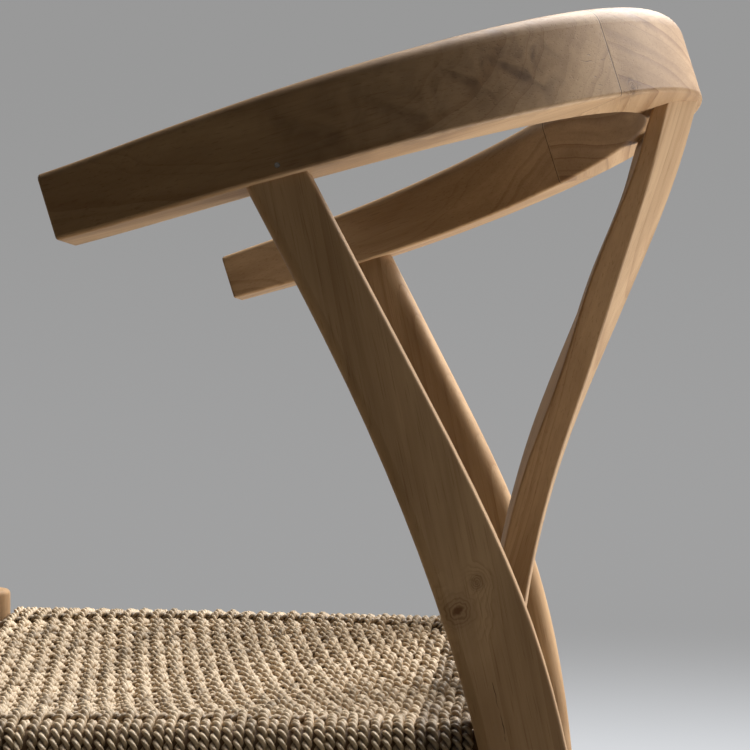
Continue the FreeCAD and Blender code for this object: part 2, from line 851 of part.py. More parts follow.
    # Glides
    glides = [glide(rear_foot), glide(front_leg_axis), glide(flipped(rear_foot)), glide(flipped(front_leg_axis))]

    pieces = {
        "bow_back": back,
        "bow_arm_right": right_arm,
        "bow_arm_left": mirrored(right_arm),
        "bow_dowels": Part.makeCompound(dowels + [mirrored(dowel) for dowel in dowels]),
        "arm_pins": Part.makeCompound([pin, mirrored(pin)]),
        "rear_leg_right": rear_leg,
        "rear_leg_left": mirrored(rear_leg),
        "front_leg_right": front_leg,
        "front_leg_left": mirrored(front_leg),
        "back_splat": splat,
        "seat_rail_front": front_rail,
        "seat_rail_back": back_rail,
        "seat_rail_right": side_rail,
        "seat_rail_left": mirrored(side_rail),
        "stretcher_front": front_bar,
        "stretcher_back": back_bar,
        "stretcher_right": side_bar,
        "stretcher_left": mirrored(side_bar),
        "woven_seat": seat,
        "foot_glides": Part.makeCompound(glides),
    }
    os.makedirs("parts", exist_ok=True)
    for name, shape in pieces.items():
        shape.exportStep("parts/" + name + ".step")
        box = shape.BoundBox
        print(
            "%-16s valid %s solids %d volume %.0f  x %.1f..%.1f  y %.1f..%.1f  z %.1f..%.1f"
            % (name, shape.isValid(), len(shape.Solids), shape.Volume,
               box.XMin, box.XMax, box.YMin, box.YMax, box.ZMin, box.ZMax)
        )


main()
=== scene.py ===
"""Looks of a teak armchair with a forked back and a seat of twisted cord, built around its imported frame."""

import functools
import logging
import math
import random
from collections.abc import Sequence
from dataclasses import dataclass, field
from enum import Enum

import bpy
import numpy as np
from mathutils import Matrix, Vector


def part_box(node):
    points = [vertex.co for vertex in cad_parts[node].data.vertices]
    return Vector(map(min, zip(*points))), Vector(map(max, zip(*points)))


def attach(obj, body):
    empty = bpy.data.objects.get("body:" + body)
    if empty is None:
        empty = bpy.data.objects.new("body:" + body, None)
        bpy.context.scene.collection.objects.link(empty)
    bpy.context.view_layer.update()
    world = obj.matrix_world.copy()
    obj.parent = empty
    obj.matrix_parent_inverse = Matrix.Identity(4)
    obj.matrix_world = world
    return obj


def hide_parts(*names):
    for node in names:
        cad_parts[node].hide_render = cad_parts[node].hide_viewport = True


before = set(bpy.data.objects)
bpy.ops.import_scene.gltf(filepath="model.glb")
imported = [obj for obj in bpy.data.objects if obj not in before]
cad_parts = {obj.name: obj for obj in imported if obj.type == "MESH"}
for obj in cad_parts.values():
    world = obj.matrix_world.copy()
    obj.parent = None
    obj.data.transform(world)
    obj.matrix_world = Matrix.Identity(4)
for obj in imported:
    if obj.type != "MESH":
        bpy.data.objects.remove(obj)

log = logging.getLogger("chair")

Point = tuple[float, float, float]
Colour = tuple[float, float, float]
Span = tuple[float, float]
BODY = "root"
MM = 0.001
COOL_LIGHT: Colour = (0.95, 1.0, 1.08)
WARM_LIGHT: Colour = (1.0, 0.9, 0.72)


class Shade:
    """An output of a shader node, with arithmetic that adds Math nodes."""

    def __init__(self, graph: "ShaderGraph", socket: bpy.types.NodeSocket | None) -> None:
        """Hold the socket and the graph it belongs to; a closing node has no output."""
        self.graph = graph
        self.socket = socket

    def _math(self, operation: str, other: "Operand" = 0.0) -> "Shade":
        """Add a Math node on this value and another."""
        return self.graph.add("ShaderNodeMath", {"operation": operation}, {0: self, 1: other})

    def __rsub__(self, other: "Operand") -> "Shade":
        """Difference, with the number first."""
        return self.graph.add("ShaderNodeMath", {"operation": "SUBTRACT"}, {0: other, 1: self})

    __add__ = __radd__ = functools.partialmethod(_math, "ADD")
    __sub__ = functools.partialmethod(_math, "SUBTRACT")
    __mul__ = __rmul__ = functools.partialmethod(_math, "MULTIPLY")
    __truediv__ = functools.partialmethod(_math, "DIVIDE")
    fraction = functools.partialmethod(_math, "FRACT")
    size = functools.partialmethod(_math, "ABSOLUTE")
    most = functools.partialmethod(_math, "MAXIMUM")


Operand = Shade | float | int
Feed = Shade | float | int | tuple


def strongest(shades: Sequence[Shade]) -> Shade | None:
    """The largest of some values, or nothing where there are none."""
    return functools.reduce(Shade.most, shades) if shades else None


class ShaderGraph:
    """A node tree that is filled by short calls."""

    def __init__(self, tree: bpy.types.NodeTree) -> None:
        """Start from an empty tree."""
        self.tree = tree
        self.tree.nodes.clear()

    def add(
        self,
        kind: str,
        settings: dict | None = None,
        sockets: dict | None = None,
        output: int | str = 0,
    ) -> Shade:
        """Add one node.

        Args:
            kind: The node's type.
            settings: Properties of the node, set first; "stops" are a ramp's places and colours.
            sockets: Values or links for its inputs, by name or number.
            output: The output that is handed back.

        Returns:
            That output.
        """
        node = self.tree.nodes.new(kind)
        for key, value in (settings or {}).items():
            if key == "stops":
                self._set_stops(node.color_ramp, value)
            else:
                setattr(node, key, value)
        for key, value in (sockets or {}).items():
            self._feed(node.inputs[key], value)
        return Shade(self, node.outputs[output] if node.outputs else None)

    def _feed(self, socket: bpy.types.NodeSocket, value: Feed) -> None:
        """Link a shade to an input, or set its value."""
        if isinstance(value, Shade):
            self.tree.links.new(value.socket, socket)
        elif socket.type == "RGBA":
            socket.default_value = (*value[:3], 1.0)
        else:
            socket.default_value = value

    @staticmethod
    def _set_stops(ramp: bpy.types.ColorRamp, stops: list[tuple[float, Colour]]) -> None:
        """Give a ramp its stops."""
        while len(ramp.elements) < len(stops):
            ramp.elements.new(1.0)
        for element, (place, colour) in zip(ramp.elements, stops):
            element.position = place
            element.color = (*colour, 1.0)

    def noise(self, vector: Shade, scale: float, detail: float = 2.0, twist: float = 0.0) -> Shade:
        """Soft noise from 0 to 1 on a place."""
        sockets = {"Vector": vector, "Scale": scale, "Detail": detail, "Distortion": twist}
        return self.add("ShaderNodeTexNoise", {}, sockets, "Fac")

    def line_noise(self, place: Shade) -> Shade:
        """Soft noise from 0 to 1 along a line."""
        return self.add("ShaderNodeTexNoise", {"noise_dimensions": "1D"}, {"W": place, "Scale": 1.0}, "Fac")

    def noise_vector(self, vector: Shade, scale: float, reach: float) -> Shade:
        """Noise as an offset of up to about half the reach each way."""
        sockets = {"Vector": vector, "Scale": scale, "Detail": 1.0}
        colour = self.add("ShaderNodeTexNoise", {}, sockets, "Color")
        centred = self.vector("SUBTRACT", colour, (0.5, 0.5, 0.5))
        return self.vector("MULTIPLY", centred, (reach, reach, reach))

    def vector(self, operation: str, first: Feed, second: Feed = (0.0, 0.0, 0.0)) -> Shade:
        """Add a Vector Math node; a dot product, length or distance comes back as a value."""
        output = "Value" if operation in ("DOT_PRODUCT", "LENGTH", "DISTANCE") else "Vector"
        return self.add("ShaderNodeVectorMath", {"operation": operation}, {0: first, 1: second}, output)

    def scaled(self, vector: Feed, factor: Shade) -> Shade:
        """A vector times a value."""
        sockets = {0: vector, "Scale": factor}
        return self.add("ShaderNodeVectorMath", {"operation": "SCALE"}, sockets, "Vector")

    def drawn_out(self, local: Shade, share: float) -> Shade:
        """Place along the tree with its run along the grain shortened, which draws a pattern out along it."""
        return self.vector("MULTIPLY", local, (1.0, 1.0, share))

    def rise(self, value: Shade, span: Span) -> Shade:
        """Smooth step from 0 at the span's start to 1 at its end."""
        sockets = {"Value": value, "From Min": span[0], "From Max": span[1]}
        return self.add("ShaderNodeMapRange", {"interpolation_type": "SMOOTHSTEP"}, sockets)

    def fall(self, value: Shade, span: Span) -> Shade:
        """Smooth step from 1 at the span's start to 0 at its end."""
        return 1.0 - self.rise(value, span)

    def mix(self, share: Feed, first: Feed, second: Feed, blend: str = "MIX") -> Shade:
        """Mix two colours."""
        settings = {"data_type": "RGBA", "blend_type": blend}
        return self.add("ShaderNodeMix", settings, {0: share, 6: first, 7: second}, 2)

    def finish_surface(
        self, colour: Shade, roughness: Shade, height: Shade, relief: Span, fixed: dict[str, float]
    ) -> None:
        """Close the tree with one surface shader.

        Args:
            colour: Its colour.
            roughness: Its roughness.
            height: Height of its relief.
            relief: Strength and depth of the relief.
            fixed: Values that are the same all over.
        """
        sockets = {"Strength": relief[0], "Distance": relief[1], "Height": height}
        bump = self.add("ShaderNodeBump", {}, sockets)
        varying = {"Base Color": colour, "Roughness": roughness, "Normal": bump}
        surface = self.add("ShaderNodeBsdfPrincipled", {}, {**fixed, **varying})
        self.add("ShaderNodeOutputMaterial", {}, {"Surface": surface})


def new_material(name: str) -> tuple[bpy.types.Material, ShaderGraph]:
    """Make an empty material and its graph."""
    material = bpy.data.materials.new(name)
    material.use_nodes = True
    return material, ShaderGraph(material.node_tree)


@dataclass(frozen=True)
class Knot:
    """A knot in the wood: its place, the branch's direction, its radius and how dark its core is."""

    place: Point
    branch: Point
    radius: float
    core: float = 1.0
    jitter_scale: float = 260.0
    jitter: float = 0.9
    rings: float = 2.3
    core_span: Span = (0.25, 0.75)
    halo_span: Span = (0.7, 2.4)
    ring_span: Span = (0.4, 0.9)
    halo_base: float = 0.25
    halo_ring: float = 0.35
    push_span: Span = (0.3, 4.5)
    push: float = 3.2

    def shades(self, graph: ShaderGraph, place: Shade) -> tuple[Shade, Shade]:
        """Darkness of the knot on a place, from 0 to 1, and by how many rings it pushes the grain aside."""
        branch = tuple(Vector(self.branch).normalized())
        jitter = graph.noise_vector(place, self.jitter_scale, self.jitter * self.radius)
        offset = graph.vector("ADD", graph.vector("SUBTRACT", place, self.place), jitter)
        along = graph.scaled(branch, graph.vector("DOT_PRODUCT", offset, branch))
        distance = graph.vector("LENGTH", graph.vector("SUBTRACT", offset, along)) / self.radius
        ring = graph.rise((distance * self.rings).fraction(), self.ring_span)
        core = graph.fall(distance, self.core_span) * self.core
        halo = graph.fall(distance, self.halo_span) * (self.halo_base + ring * self.halo_ring)
        return core.most(halo), graph.fall(distance, self.push_span) * self.push


@dataclass(frozen=True)
class Crack:
    """A fine drying crack between two points of the surface."""

    start: Point
    end: Point
    width: float = 0.25 * MM
    taper: float = 0.75
    edge_span: Span = (0.3, 1.0)

    def shade(self, graph: ShaderGraph, place: Shade) -> Shade:
        """Where the crack shows on a place that was made wavy, from 0 to 1; it fades to both ends."""
        run = Vector(self.end) - Vector(self.start)
        offset = graph.vector("SUBTRACT", place, self.start)
        share = graph.vector("DOT_PRODUCT", offset, tuple(run / run.length_squared))
        share = graph.add("ShaderNodeClamp", {}, {"Value": share})
        distance = graph.vector("DISTANCE", offset, graph.scaled(tuple(run), share))
        thinner = (share * 2.0 - 1.0).size() * self.taper
        return graph.fall(distance / self.width, self.edge_span) * (1.0 - thinner)


@dataclass(frozen=True)
class Stain:
    """A smoky patch where the grain swirls and darkens: its middle, its reach and how dark it is."""

    place: Point
    reach: float
    depth: float
    near_span: Span = (0.15, 1.0)
    curls: float = 2.0
    curl_span: Span = (0.34, 0.74)

    def shade(self, graph: ShaderGraph, place: Shade) -> Shade:
        """Darkness of the patch on a place, from 0 to 1."""
        offset = graph.vector("SUBTRACT", place, self.place)
        near = graph.fall(graph.vector("LENGTH", offset) / self.reach, self.near_span)
        curl = graph.noise(offset, self.curls / self.reach, detail=4.0, twist=1.4)
        return near * graph.rise(curl, self.curl_span) * self.depth


@dataclass(frozen=True)
class GlueLine:
    """A plane where two pieces meet, which shows as a thin dark line."""

    place: Point
    normal: Point
    width: float = 0.5 * MM
    depth: float = 0.8
    edge_span: Span = (0.35, 1.0)

    def shade(self, graph: ShaderGraph, place: Shade) -> Shade:
        """Where the line shows on a place, from 0 to 1."""
        normal = Vector(self.normal).normalized()
        level = graph.vector("DOT_PRODUCT", place, tuple(normal)) - normal.dot(Vector(self.place))
        return graph.fall(level.size() / self.width, self.edge_span) * self.depth


@dataclass(frozen=True)
class YearRings:
    """How the rings of a tree wander, and how the late wood darkens in them."""

    wander_scale: float = 15.0
    ripple_scale: float = 70.0
    ripple: float = 0.18
    spread_rate: float = 0.9
    spread: float = 1.6
    late_span: Span = (0.40, 0.95)
    end_span: Span = (0.955, 1.0)
    force_rate: float = 0.37
    force_span: Span = (0.30, 0.75)


@dataclass(frozen=True)
class Teak:
    """Oiled teak, cut from a tree whose rings run round a line beside the piece."""

    name: str
    grain: Point
    pith: Point
    ring_width: float = 5.0 * MM
    ring_depth: float = 0.5
    swirl: float = 14.0 * MM
    figure: float = 0.55
    light: Colour = (0.545, 0.358, 0.200)
    deep: Colour = (0.29, 0.170, 0.082)
    ring_tint: Colour = (0.58, 0.47, 0.37)
    streak_tint: Colour = (0.80, 0.75, 0.70)
    pore_tint: Colour = (0.60, 0.52, 0.44)
    knot_tint: Colour = (0.34, 0.24, 0.17)
    smoke_tint: Colour = (0.36, 0.33, 0.33)
    mark_colour: Colour = (0.035, 0.022, 0.014)
    streak_depth: float = 0.35
    pore_depth: float = 0.4
    cloud_draw: float = 0.17
    streak_draw: float = 0.012
    pore_draw: float = 0.035
    cloud_scale: float = 16.0
    fine_cloud_scale: float = 60.0
    streak_scale: float = 620.0
    pore_scale: float = 1300.0
    cloud_span: Span = (0.34, 0.68)
    streak_span: Span = (0.35, 0.75)
    pore_span: Span = (0.60, 0.72)
    crack_wave_scale: float = 160.0
    crack_wave: float = 2.2 * MM
    streak_height: float = 0.35
    pore_height: float = 0.5
    ring_height: float = 0.25
    mark_height: float = 2.0
    relief: Span = (0.22, 0.35 * MM)
    roughness: float = 0.50
    streak_roughness: float = 0.12
    ring_polish: float = 0.06
    gloss: float = 0.16
    rings: YearRings = YearRings()
    knots: tuple[Knot, ...] = ()
    cracks: tuple[Crack, ...] = ()
    stains: tuple[Stain, ...] = ()
    glue_lines: tuple[GlueLine, ...] = ()

    def build(self) -> bpy.types.Material:
        """Make the material.

        Returns:
            The material, with rings, streaks, pores and the piece's own marks.
        """
        material, graph = new_material(self.name)
        place = graph.add("ShaderNodeTexCoord", output="Object")
        turn = Vector(self.grain).to_track_quat("Z", "Y").to_euler()
        local = graph.add(
            "ShaderNodeMapping",
            {"vector_type": "TEXTURE"},
            {"Vector": place, "Location": self.pith, "Rotation": tuple(turn)},
        )
        drawn = graph.drawn_out(local, self.cloud_draw)
        knot_dark, knot_push = self._knots(graph, place)
        late = self._rings(graph, local, drawn, knot_push)
        streak = graph.noise(graph.drawn_out(local, self.streak_draw), self.streak_scale, detail=3.0)
        pore = graph.noise(graph.drawn_out(local, self.pore_draw), self.pore_scale, detail=1.0)
        pore = graph.rise(pore, self.pore_span)
        cloud = graph.rise(graph.noise(drawn, self.cloud_scale, detail=4.0, twist=1.6), self.cloud_span)
        fine_cloud = graph.noise(drawn, self.fine_cloud_scale, detail=3.0, twist=0.8)
        marks = self._marks(graph, place)

        colour = graph.mix(cloud * self.figure + fine_cloud * (1.0 - self.figure), self.deep, self.light)
        tints = (
            (late * self.ring_depth, self.ring_tint),
            (graph.rise(streak, self.streak_span) * self.streak_depth, self.streak_tint),
            (pore * self.pore_depth, self.pore_tint),
            (knot_dark, self.knot_tint),
            (strongest([stain.shade(graph, place) for stain in self.stains]), self.smoke_tint),
        )
        for share, tint in tints:
            if share is not None:
                colour = graph.mix(share, colour, tint, "MULTIPLY")
        height = streak * self.streak_height - pore * self.pore_height - late * self.ring_height
        if marks is not None:
            colour = graph.mix(marks, colour, self.mark_colour)
            height = height - marks * self.mark_height
        roughness = self.roughness + streak * self.streak_roughness - late * self.ring_polish
        graph.finish_surface(colour, roughness, height, self.relief, {"Specular IOR Level": self.gloss})
        return material

    def _rings(self, graph: ShaderGraph, local: Shade, drawn: Shade, push: Shade | None) -> Shade:
        """Darkness of the late wood in each year's ring.

        Args:
            graph: The material's graph.
            local: Place along the tree.
            drawn: The same, drawn out along the grain.
            push: How far knots push the rings aside, in rings.

        Returns:
            A value from 0 to 1.
        """
        rings = self.rings
        wander = graph.noise_vector(drawn, rings.wander_scale, self.swirl)
        ripple = graph.noise_vector(drawn, rings.ripple_scale, rings.ripple * self.swirl)
        moved = graph.vector("ADD", graph.vector("ADD", local, wander), ripple)
        years = graph.vector("LENGTH", graph.drawn_out(moved, 0.0)) / self.ring_width
        phase = years + graph.line_noise(years * rings.spread_rate) * rings.spread
        if push is not None:
            phase = phase + push
        share = phase.fraction()
        late = graph.rise(share, rings.late_span) * graph.fall(share, rings.end_span)
        return late * graph.rise(graph.line_noise(years * rings.force_rate), rings.force_span)

    def _knots(self, graph: ShaderGraph, place: Shade) -> tuple[Shade | None, Shade | None]:
        """Darkness of the knots, and how far they push the rings aside."""
        if not self.knots:
            return None, None
        darks, pushes = zip(*(knot.shades(graph, place) for knot in self.knots))
        return strongest(darks), functools.reduce(Shade.__add__, pushes)

    def _marks(self, graph: ShaderGraph, place: Shade) -> Shade | None:
        """Where cracks and glue lines show, from 0 to 1."""
        marks = [line.shade(graph, place) for line in self.glue_lines]
        if self.cracks:
            wave = graph.noise_vector(place, self.crack_wave_scale, self.crack_wave)
            wavy = graph.vector("ADD", place, wave)
            marks += [crack.shade(graph, wavy) for crack in self.cracks]
        return strongest(marks)


@dataclass(frozen=True)
class GrassCord:
    """Dry grass, twisted to a cord of two plies, with painted shade where the plies meet."""

    name: str = "twisted_grass"
    straw: Colour = (0.74, 0.575, 0.385)
    tan: Colour = (0.56, 0.42, 0.265)
    brown: Colour = (0.29, 0.21, 0.126)
    # Painted shade: colour that darkens the cord where its two plies meet.
    groove_shade: Colour = (0.22, 0.18, 0.14)
    stops: Point = (0.22, 0.50, 0.80)
    fibre_draw: Point = (34.0, 95.0, 0.0)
    patch_draw: Point = (2.0, 70.0, 0.0)
    tone_share: float = 0.55
    patch_share: float = 0.30
    fibre_share: float = 0.34
    groove_shade_span: Span = (0.0, 0.75)
    relief: Span = (0.8, 0.3 * MM)
    roughness: float = 0.34
    fibre_roughness: float = 0.25
    gloss: float = 0.45

    def build(self) -> bpy.types.Material:
        """Make the material, which follows each cord by its own map and tones."""
        material, graph = new_material(self.name)
        run = graph.add("ShaderNodeUVMap", {"uv_map": WovenSeat.CORD_MAP}, {}, "UV")
        tone = graph.add("ShaderNodeAttribute", {"attribute_name": WovenSeat.TONE}, {}, "Fac")
        crown = graph.add("ShaderNodeAttribute", {"attribute_name": WovenSeat.CROWN}, {}, "Fac")
        fibre = graph.noise(graph.vector("MULTIPLY", run, self.fibre_draw), 1.0, detail=3.0)
        patch = graph.noise(graph.vector("MULTIPLY", run, self.patch_draw), 1.0, detail=2.0)
        share = tone * self.tone_share + patch * self.patch_share + fibre * self.fibre_share
        stops = list(zip(self.stops, (self.brown, self.tan, self.straw)))
        colour = graph.add("ShaderNodeValToRGB", {"stops": stops}, {"Fac": share}, "Color")
        # Painted shade: the colour darkens towards the crease between the plies, by how far out each point
        # lies.
        colour = graph.mix(graph.fall(crown, self.groove_shade_span), colour, self.groove_shade, "MULTIPLY")
        roughness = self.roughness + fibre * self.fibre_roughness
        graph.finish_surface(colour, roughness, fibre, self.relief, {"Specular IOR Level": self.gloss})
        return material


@dataclass(frozen=True)
class PlainFinish:
    """A plain hard finish with fine speckle: steel, plastic or bare dowel wood."""

    name: str
    colour: Colour
    worn: Colour
    roughness: float
    metallic: float = 0.0
    speckle_scale: float = 900.0
    worn_span: Span = (0.45, 0.8)
    speckle_roughness: float = 0.1
    relief: Span = (0.2, 0.1 * MM)

    def build(self) -> bpy.types.Material:
        """Make the material."""
        material, graph = new_material(self.name)
        place = graph.add("ShaderNodeTexCoord", output="Object")
        speckle = graph.noise(place, self.speckle_scale, detail=3.0)
        colour = graph.mix(graph.rise(speckle, self.worn_span), self.colour, self.worn)
        roughness = self.roughness + speckle * self.speckle_roughness
        graph.finish_surface(colour, roughness, speckle, self.relief, {"Metallic": self.metallic})
        return material


class Weave(Enum):
    """Which cord lies on top where two cross."""

    ACROSS_OVER = 1.0
    ALONG_OVER = -1.0


def ease(share: np.ndarray) -> np.ndarray:
    """Smooth step: 0 up to share 0, 1 from share 1 on."""
    held = np.clip(share, 0.0, 1.0)
    return held * held * (3 - 2 * held)


def paired(first: np.ndarray, second: np.ndarray) -> np.ndarray:
    """Points in a plane from two rows of coordinates."""
    return np.stack([first, second], axis=1)


def looped(
    places: np.ndarray, top: np.ndarray, low: np.ndarray, far: np.ndarray, near: np.ndarray
) -> np.ndarray:
    """Flat loop: out along the top, round the far turn, back below and round the near turn."""
    return np.concatenate([paired(places, top), far, paired(places, low)[::-1], near])


@dataclass
class CordRoute:
    """Centre line of one closed loop of cord, the axis its wraps turn about and how much darker it is."""

    points: np.ndarray
    axis: Point
    darker: float = 0.0


@dataclass
class CordMesh:
    """Vertices, faces and tones of the cords of one piece, gathered loop by loop."""

    points: list[np.ndarray] = field(default_factory=list)
    faces: list[np.ndarray] = field(default_factory=list)
    maps: list[np.ndarray] = field(default_factory=list)
    tones: list[np.ndarray] = field(default_factory=list)
    crowns: list[np.ndarray] = field(default_factory=list)
    count: int = 0


@dataclass
class WovenSeat:
    """Seat of twisted cord: loops across and along the chair, woven together, with wraps between."""

    CORD_MAP = "cord_run"
    TONE = "cord_tone"
    CROWN = "cord_crown"
    ACROSS_AXIS = (0.0, 1.0, 0.0)
    ALONG_AXIS = (1.0, 0.0, 0.0)

    # Rails
    front_half: float = 0.230
    rear_half: float = 0.1985
    front: float = -0.2395
    side_rear: float = 0.1400
    back: float = 0.1436
    side_level: float = 0.4095
    cross_level: float = 0.3955
    wrap_half_width: float = 14.8 * MM
    wrap_half_depth: float = 17.8 * MM
    stem_half: float = 0.0275
    stem_front: float = 0.1258

    # Layout of the cords
    first_across: float = -0.2155
    last_across: float = 0.1205
    across_count: int = 63
    along_count: int = 18
    along_inset: float = 15.0 * MM
    along_front_inset: float = 22.5 * MM
    along_back_inset: float = 15.5 * MM
    inset_run: float = 20.0 * MM
    square_run: float = 35.0 * MM
    rear_inset: float = 21.0 * MM
    rear_turn: float = 3 * MM
    stem_gap: float = 4 * MM
    wraps_between: int = 3
    across_pieces: int = 7
    along_pieces: int = 2

    # Levels
    edge_level: float = 0.4282
    edge_reach: float = 0.045
    edge_power: int = 26
    edge_lift: float = 1.9 * MM
    dip: float = 15.0 * MM
    dip_power: float = 2.2
    under_level: float = 0.3980
    weave_height: float = 4.4 * MM
    side_top_run: float = 0.012
    side_under_run: float = 0.045
    cross_top_run: float = 0.018
    cross_under_run: float = 0.060

    # Cord
    cord_radius: float = 2.72 * MM
    lay: float = 9.6 * MM
    ply_radius: float = 0.545
    ply_angles: tuple[float, ...] = (-100.0, -50.0, 0.0, 50.0, 100.0)
    ply_crown: tuple[float, ...] = (0.0, 0.55, 0.9, 1.0, 0.9, 0.55)
    # Darkening of the cords at the edges: near the rear legs it is a darker stain; on the outermost cords
    # along the seat it is partly their own darker tone and partly painted shade.
    edge_stain_and_shade: float = 0.8
    dark_count: int = 6

    # Chance
    seed: int = 7
    weave_spread: Span = (0.72, 1.18)
    lay_spread: Span = (0.94, 1.08)
    radius_spread: Span = (0.90, 1.08)
    tone_shape: Span = (2.2, 2.0)
    drift_length: Span = (0.06, 0.11)
    across_wander: float = 0.75 * MM
    along_wander: float = 1.1 * MM
    wrap_shift: float = 0.2 * MM
    swell_wander: float = 0.07
    tone_wander: float = 0.22
    map_reach: float = 40

    # Fineness
    across_samples: int = 700
    rear_samples: int = 600
    along_samples: int = 460
    stem_samples: int = 20
    bow_samples: int = 60
    dense_step: float = 0.5 * MM
    smooth_reach: int = 5
    fine_step: float = 1.4 * MM
    coarse_step: float = 1.9 * MM
    coarse_below: float = 1.6

    def __post_init__(self) -> None:
        """Lay out the cords' places."""
        self.chance = random.Random(self.seed)
        self.spacing = (self.last_across - self.first_across) / (self.across_count - 1)
        self.across_places = [self.first_across + self.spacing * index for index in range(self.across_count)]
        self.rear_place = self.last_across + self.spacing
        middle = (self.along_count - 1) / 2
        self.along_shares = [(index - middle) / middle for index in range(self.along_count)]
        self.taper = (self.front_half - self.rear_half) / (self.side_rear - self.front)
        self.wrap = (self.wrap_half_width, self.wrap_half_depth)

    def half_width(self, along: np.ndarray | float) -> np.ndarray | float:
        """Distance of the side rail's axis from the middle plane, at a place along the chair."""
        return self.front_half - self.taper * (along - self.front)

    def top_level(self, across: np.ndarray, along: np.ndarray) -> np.ndarray:
        """Height of the upper layer's middle surface.

        Args:
            across: Places across the chair.
            along: Places along it.

        Returns:
            Heights: high at the side rails, lower at the cross rails and in the middle.
        """
        share = np.clip(np.abs(across / self.half_width(along)), 0.0, 1.0)
        cross_crest = self.cross_level + self.wrap_half_depth
        open_level = self.edge_level - self.dip * (1 - share ** self.dip_power)
        edge_level = cross_crest + (self.edge_level - cross_crest) * share ** self.edge_power
        near = np.exp(-np.minimum(along - self.front, self.back - along).clip(0.0) / self.edge_reach)
        return open_level * (1 - near) + edge_level * near

    def over(self, along_index: int, across_index: int) -> float:
        """Sign of the crossing of two cords: 1 where the cord across is on top."""
        crossing = Weave.ACROSS_OVER if (along_index + across_index) % 2 == 0 else Weave.ALONG_OVER
        return crossing.value

    @staticmethod
    def wave(places: np.ndarray, crossings: list[float], signs: list[float]) -> np.ndarray:
        """Smooth up and down between crossings.

        Args:
            places: Where it is wanted.
            crossings: Places of the crossings, rising.
            signs: Height at each crossing, about 1 or -1.

        Returns:
            Heights in between, level beyond the last crossings.
        """
        steps = np.interp(places, crossings, np.arange(len(crossings), dtype=float))
        low = np.floor(steps).astype(int).clip(0, len(crossings) - 2)
        eased = ease(steps - low)
        values = np.asarray(signs)
        return values[low] * (1 - eased) + values[low + 1] * eased

    def drift(self, places: np.ndarray, reach: float) -> np.ndarray:
        """Slow random wander along a cord, of a slow and a quicker wave."""
        first = self.chance.uniform(0, 2 * math.pi)
        second = self.chance.uniform(0, 2 * math.pi)
        turn = 2 * math.pi * places / self.chance.uniform(*self.drift_length)
        return reach * (0.6 * np.sin(turn + first) + 0.4 * np.sin(2.3 * turn + second))

    def bow(self, centre: Span, half: Span, start: float, end: float) -> np.ndarray:
        """Points on part of an oval, from one angle to another in degrees."""
        angles = np.radians(np.linspace(start, end, self.bow_samples))
        return paired(centre[0] + half[0] * np.cos(angles), centre[1] + half[1] * np.sin(angles))

    def across_loop(self, index: int) -> CordRoute:
        """Loop over the seat, round both side rails and back below.

        Args:
            index: Number of the cord, from the front.

        Returns:
            Its route, which leaves the rails squarely and weaves over and under the cords along the seat.
        """
        along = self.across_places[index]
        half = float(self.half_width(along))
        crossings = [self.along_place(share, along) for share in self.along_shares]
        signs = [self.over(other, index) for other in range(self.along_count)]
        signs = [sign * self.chance.uniform(*self.weave_spread) for sign in signs]
        places = np.linspace(-half, half, self.across_samples)
        weave = self.weave_height * self.wave(places, [-half, *crossings, half], [0.0, *signs, 0.0])
        inside = half - np.abs(places)
        crest = self.side_level + self.wrap_half_depth
        level = self.top_level(places, np.full_like(places, along))
        top = crest + (level - crest) * ease(inside / self.side_top_run) + weave
        low_end = self.side_level - self.wrap_half_depth
        low = low_end + (self.under_level - low_end) * ease(inside / self.side_under_run) - weave
        far = self.bow((half, self.side_level), self.wrap, 90, -90)[1:-1]
        near = self.bow((-half, self.side_level), self.wrap, 270, 90)[1:-1]
        flat = looped(places, top, low, far, near)
        inside = half - np.abs(flat[:, 0])
        pull = np.where(inside < 0, inside, self.square_run * (1 - np.exp(-inside / self.square_run)))
        sideways = along - self.taper * pull + self.drift(flat[:, 0], self.across_wander)
        points = np.stack([flat[:, 0], sideways, flat[:, 1]], axis=1)
        darker = self.edge_stain_and_shade * max(0.0, 1 - (self.across_count - 1 - index) / self.dark_count)
        return CordRoute(points, self.ACROSS_AXIS, darker)

    def rear_loop(self) -> CordRoute:
        """Loop between the rear legs, behind the last cord across; it turns down inside the side rails."""
        along = self.rear_place
        half = float(self.half_width(along))
        reach = half - self.rear_inset
        places = np.linspace(-reach, reach, self.rear_samples)
        crossings = [self.along_place(share, along) for share in self.along_shares]
        signs = [self.over(other, self.across_count) for other in range(self.along_count)]
        weave = self.weave_height * self.wave(places, crossings, signs)
        top = self.top_level(places, np.full_like(places, along)) + weave
        low = self.under_level - weave
        middles = (top + low) / 2
        halves = (top - low) / 2
        far = self.bow((reach, middles[-1]), (self.rear_turn, halves[-1]), 90, -90)[1:-1]
        near = self.bow((-reach, middles[0]), (self.rear_turn, halves[0]), 270, 90)[1:-1]
        flat = looped(places, top, low, far, near)
        inside = half - np.abs(flat[:, 0])
        sideways = along - self.taper * self.square_run * (1 - np.exp(-inside / self.square_run))
        points = np.stack([flat[:, 0], sideways, flat[:, 1]], axis=1)
        return CordRoute(points, self.ACROSS_AXIS, self.edge_stain_and_shade)

    def along_place(self, share: float, along: np.ndarray | float) -> np.ndarray | float:
        """Place across the chair of a cord that runs along it.

        Args:
            share: The cord's share of the way from the middle to the side.
            along: Places along the chair.

        Returns:
            Places across; the outer cords lie close to the side rails and draw in at the legs.
        """
        ends = ((along - self.front, self.along_front_inset), (self.back - along, self.along_back_inset))
        inset = self.along_inset
        for gap, end_inset in ends:
            inset = inset + (end_inset - self.along_inset) * np.exp(-np.maximum(gap, 0.0) / self.inset_run)
        return share * (self.half_width(along) - inset)

